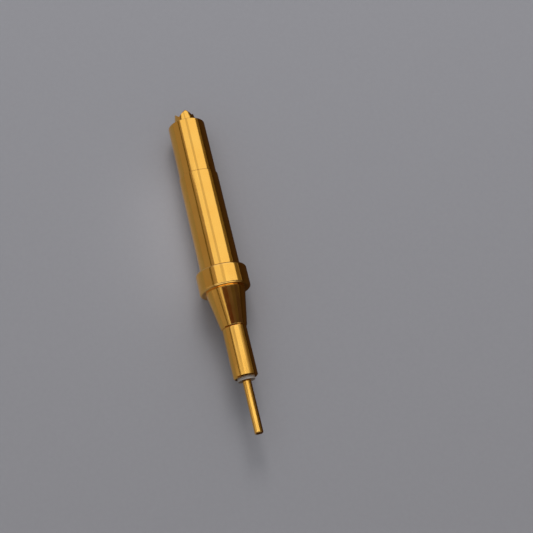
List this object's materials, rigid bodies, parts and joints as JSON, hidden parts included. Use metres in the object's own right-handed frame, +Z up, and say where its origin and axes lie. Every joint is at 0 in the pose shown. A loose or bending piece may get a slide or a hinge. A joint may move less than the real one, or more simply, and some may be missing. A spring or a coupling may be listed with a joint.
{
  "type": "coaxial spring test probe",
  "caption": "Slim gold-plated coaxial test probe: a pointed crown sprung inside a sprung ring contact, with a collared barrel, tapered rear, tail tube and terminal pin.",
  "frame": {"origin": "on the probe's axis, in the plane of the collar's front face", "axes": "+X along the axis towards the crown, +Z up with the probe lying as in the picture"},
  "size_m": [0.0345, 0.005, 0.0051],
  "materials": {
    "gold_plated_brass": "polished gold plating over turned brass",
    "white_insulator": "white fluoropolymer, slightly waxy",
    "spring_steel": "drawn stainless spring wire"
  },
  "bodies": {
    "housing": {"barrel": "gold_plated_brass", "tail_tube": "gold_plated_brass", "tail_insulator": "white_insulator", "terminal_pin": "gold_plated_brass", "core_insulator": "white_insulator", "inner_barrel": "gold_plated_brass", "sleeve_spring": "spring_steel", "centre_spring": "spring_steel"},
    "ring": {"outer_sleeve": "gold_plated_brass", "front_bush": "white_insulator"},
    "plunger": {"centre_plunger": "gold_plated_brass"}
  },
  "joints": [
    {"name": "sleeve_slide", "type": "slide", "parent": "housing", "child": "ring", "axis": [-1, 0, 0], "range_m": [0, 0.003], "stiffness_N_per_m": 350, "springref_m": -0.0023, "deforming": ["sleeve_spring"]},
    {"name": "plunger_slide", "type": "slide", "parent": "housing", "child": "plunger", "axis": [-1, 0, 0], "range_m": [0, 0.0045], "stiffness_N_per_m": 250, "springref_m": -0.003, "deforming": ["centre_spring"]}
  ]
}
